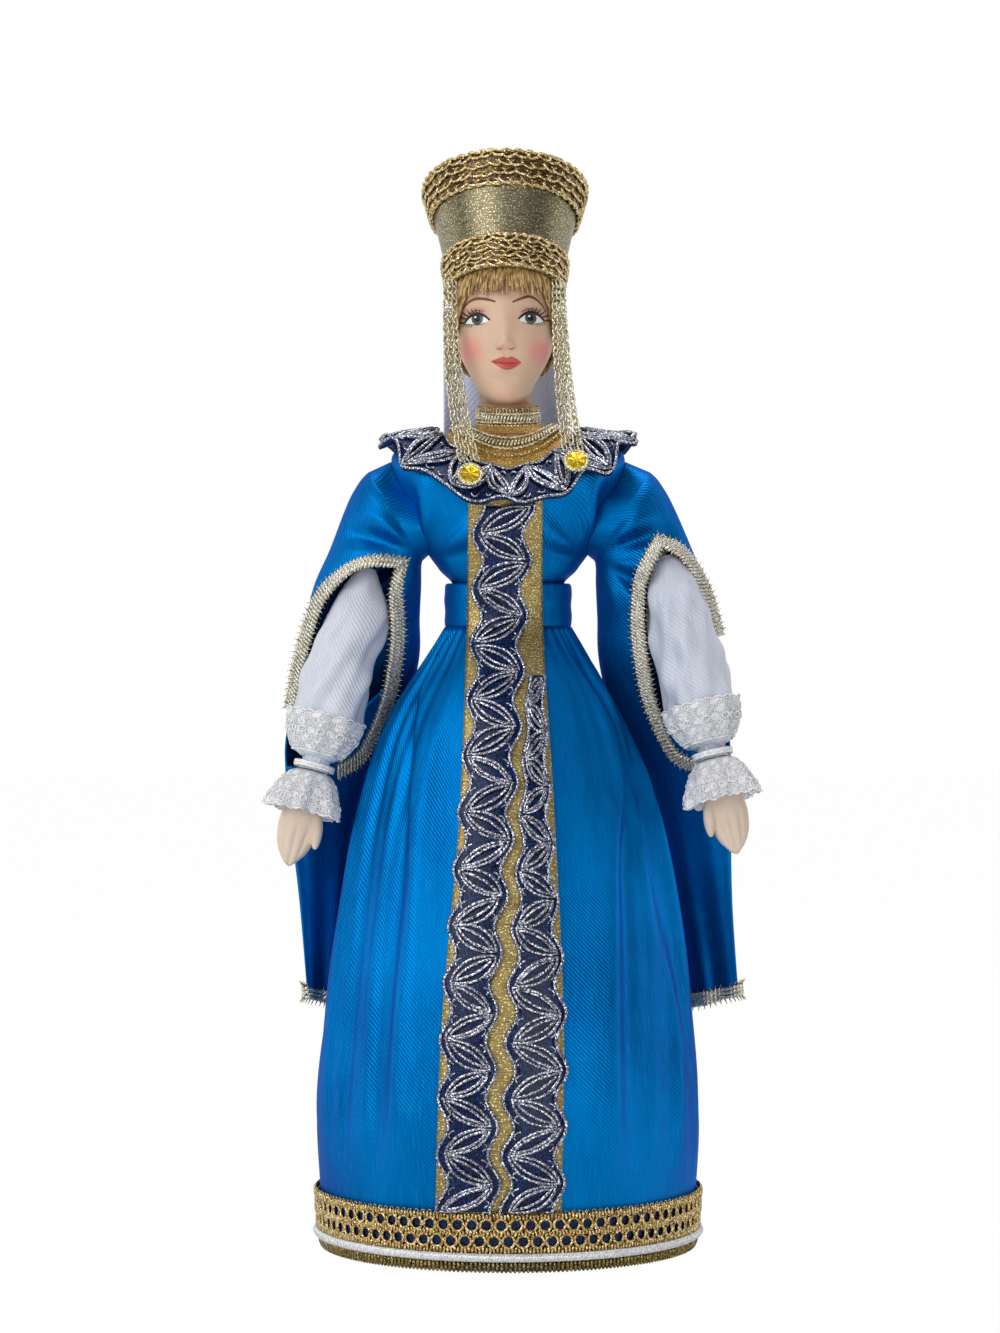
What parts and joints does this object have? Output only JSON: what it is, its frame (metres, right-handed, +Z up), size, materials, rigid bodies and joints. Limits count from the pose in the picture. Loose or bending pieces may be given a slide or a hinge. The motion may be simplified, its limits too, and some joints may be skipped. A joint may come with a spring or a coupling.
{
  "type": "costume doll",
  "caption": "Standing costume doll in an old festive dress with hanging sleeves, tall hat, porcelain head and hands; arms bend, hands twist, sleeves, pendants and veil swing.",
  "frame": {"origin": "centre of the flat underside of the base disc, on the surface the doll stands on", "axes": "+Z up along the doll, -Y the way the face looks, +X the doll's own left"},
  "size_m": [0.1207, 0.0977, 0.2687],
  "materials": {
    "wood": "plain wood",
    "card": "stiff card",
    "stuffing": "stuffed cotton",
    "porcelain": "painted bisque porcelain",
    "hair": "smooth fibre",
    "gold_cloth": "metallic brocade",
    "gold_braid": "metallic thread",
    "silver_braid": "metallic thread",
    "pale_braid": "metallic thread",
    "blue_satin": "satin",
    "white_satin": "satin",
    "white_lace": "lace",
    "wire": "annealed wire",
    "sequin": "metallic plastic"
  },
  "bodies": {
    "doll": {"base_disc": "wood", "skirt_cone": "card", "body_post": "wood", "torso": "stuffing", "head": "porcelain", "hair": "hair", "hat_shell": "gold_cloth", "hat_lid": "gold_cloth", "hat_band_top": "gold_braid", "hat_band_bottom": "gold_braid", "yoke": "gold_cloth", "neck_choker": "gold_braid", "neck_braid": "gold_braid", "collar": "silver_braid", "bodice": "blue_satin", "belt": "blue_satin", "skirt": "blue_satin", "hem_net_braid": "gold_braid", "hem_cord": "white_lace", "hem_edge_braid": "gold_braid", "front_ribbon": "gold_cloth", "front_braid_right": "silver_braid", "front_braid_left": "silver_braid"},
    "sleeve_left": {"sleeve_left": "blue_satin", "slit_braid_left": "pale_braid", "cuff_braid_left": "pale_braid"},
    "sleeve_right": {"sleeve_right": "blue_satin", "slit_braid_right": "pale_braid", "cuff_braid_right": "pale_braid"},
    "arm_left": {"arm_wire_left": "wire", "undersleeve_left": "white_satin", "lace_band_left": "white_lace", "wrist_tie_left": "white_lace", "lace_ruffle_left": "white_lace"},
    "arm_right": {"arm_wire_right": "wire", "undersleeve_right": "white_satin", "lace_band_right": "white_lace", "wrist_tie_right": "white_lace", "lace_ruffle_right": "white_lace"},
    "hand_left": {"hand_left": "porcelain"},
    "hand_right": {"hand_right": "porcelain"},
    "pendant_left": {"pendant_chains_left": "pale_braid", "pendant_sequin_left": "sequin"},
    "pendant_right": {"pendant_chains_right": "pale_braid", "pendant_sequin_right": "sequin"},
    "veil": {"veil": "white_satin"}
  },
  "joints": [
    {"name": "sleeve_left_swing", "type": "hinge", "parent": "doll", "child": "sleeve_left", "pos_m": [0.0292, 0, 0.194], "axis": [0, -1, 0], "range_deg": [0, 18]},
    {"name": "sleeve_right_swing", "type": "hinge", "parent": "doll", "child": "sleeve_right", "pos_m": [-0.0292, 0, 0.194], "axis": [0, 1, 0], "range_deg": [0, 18]},
    {"name": "arm_left_bend", "type": "hinge", "parent": "sleeve_left", "child": "arm_left", "pos_m": [0.0386, -0.004, 0.1665], "axis": [-1, 0, 0], "range_deg": [0, 30]},
    {"name": "arm_right_bend", "type": "hinge", "parent": "sleeve_right", "child": "arm_right", "pos_m": [-0.0354, -0.004, 0.164], "axis": [-1, 0, 0], "range_deg": [0, 30]},
    {"name": "hand_left_twist", "type": "hinge", "parent": "arm_left", "child": "hand_left", "pos_m": [0.05, -0.012, 0.1195], "axis": [0.2326, -0.1632, -0.9588], "range_deg": [-35, 35]},
    {"name": "hand_right_twist", "type": "hinge", "parent": "arm_right", "child": "hand_right", "pos_m": [-0.0476, -0.01, 0.1165], "axis": [-0.2469, -0.1214, -0.9614], "range_deg": [-35, 35]},
    {"name": "pendant_left_swing", "type": "hinge", "parent": "doll", "child": "pendant_left", "pos_m": [0.012, -0.0063, 0.2362], "axis": [-1, 0, 0], "range_deg": [0, 40]},
    {"name": "pendant_right_swing", "type": "hinge", "parent": "doll", "child": "pendant_right", "pos_m": [-0.0134, -0.0063, 0.2362], "axis": [-1, 0, 0], "range_deg": [0, 40]},
    {"name": "veil_lift", "type": "hinge", "parent": "doll", "child": "veil", "pos_m": [-0.00075, 0.0142, 0.2281], "axis": [1, 0, 0], "range_deg": [0, 40]}
  ]
}
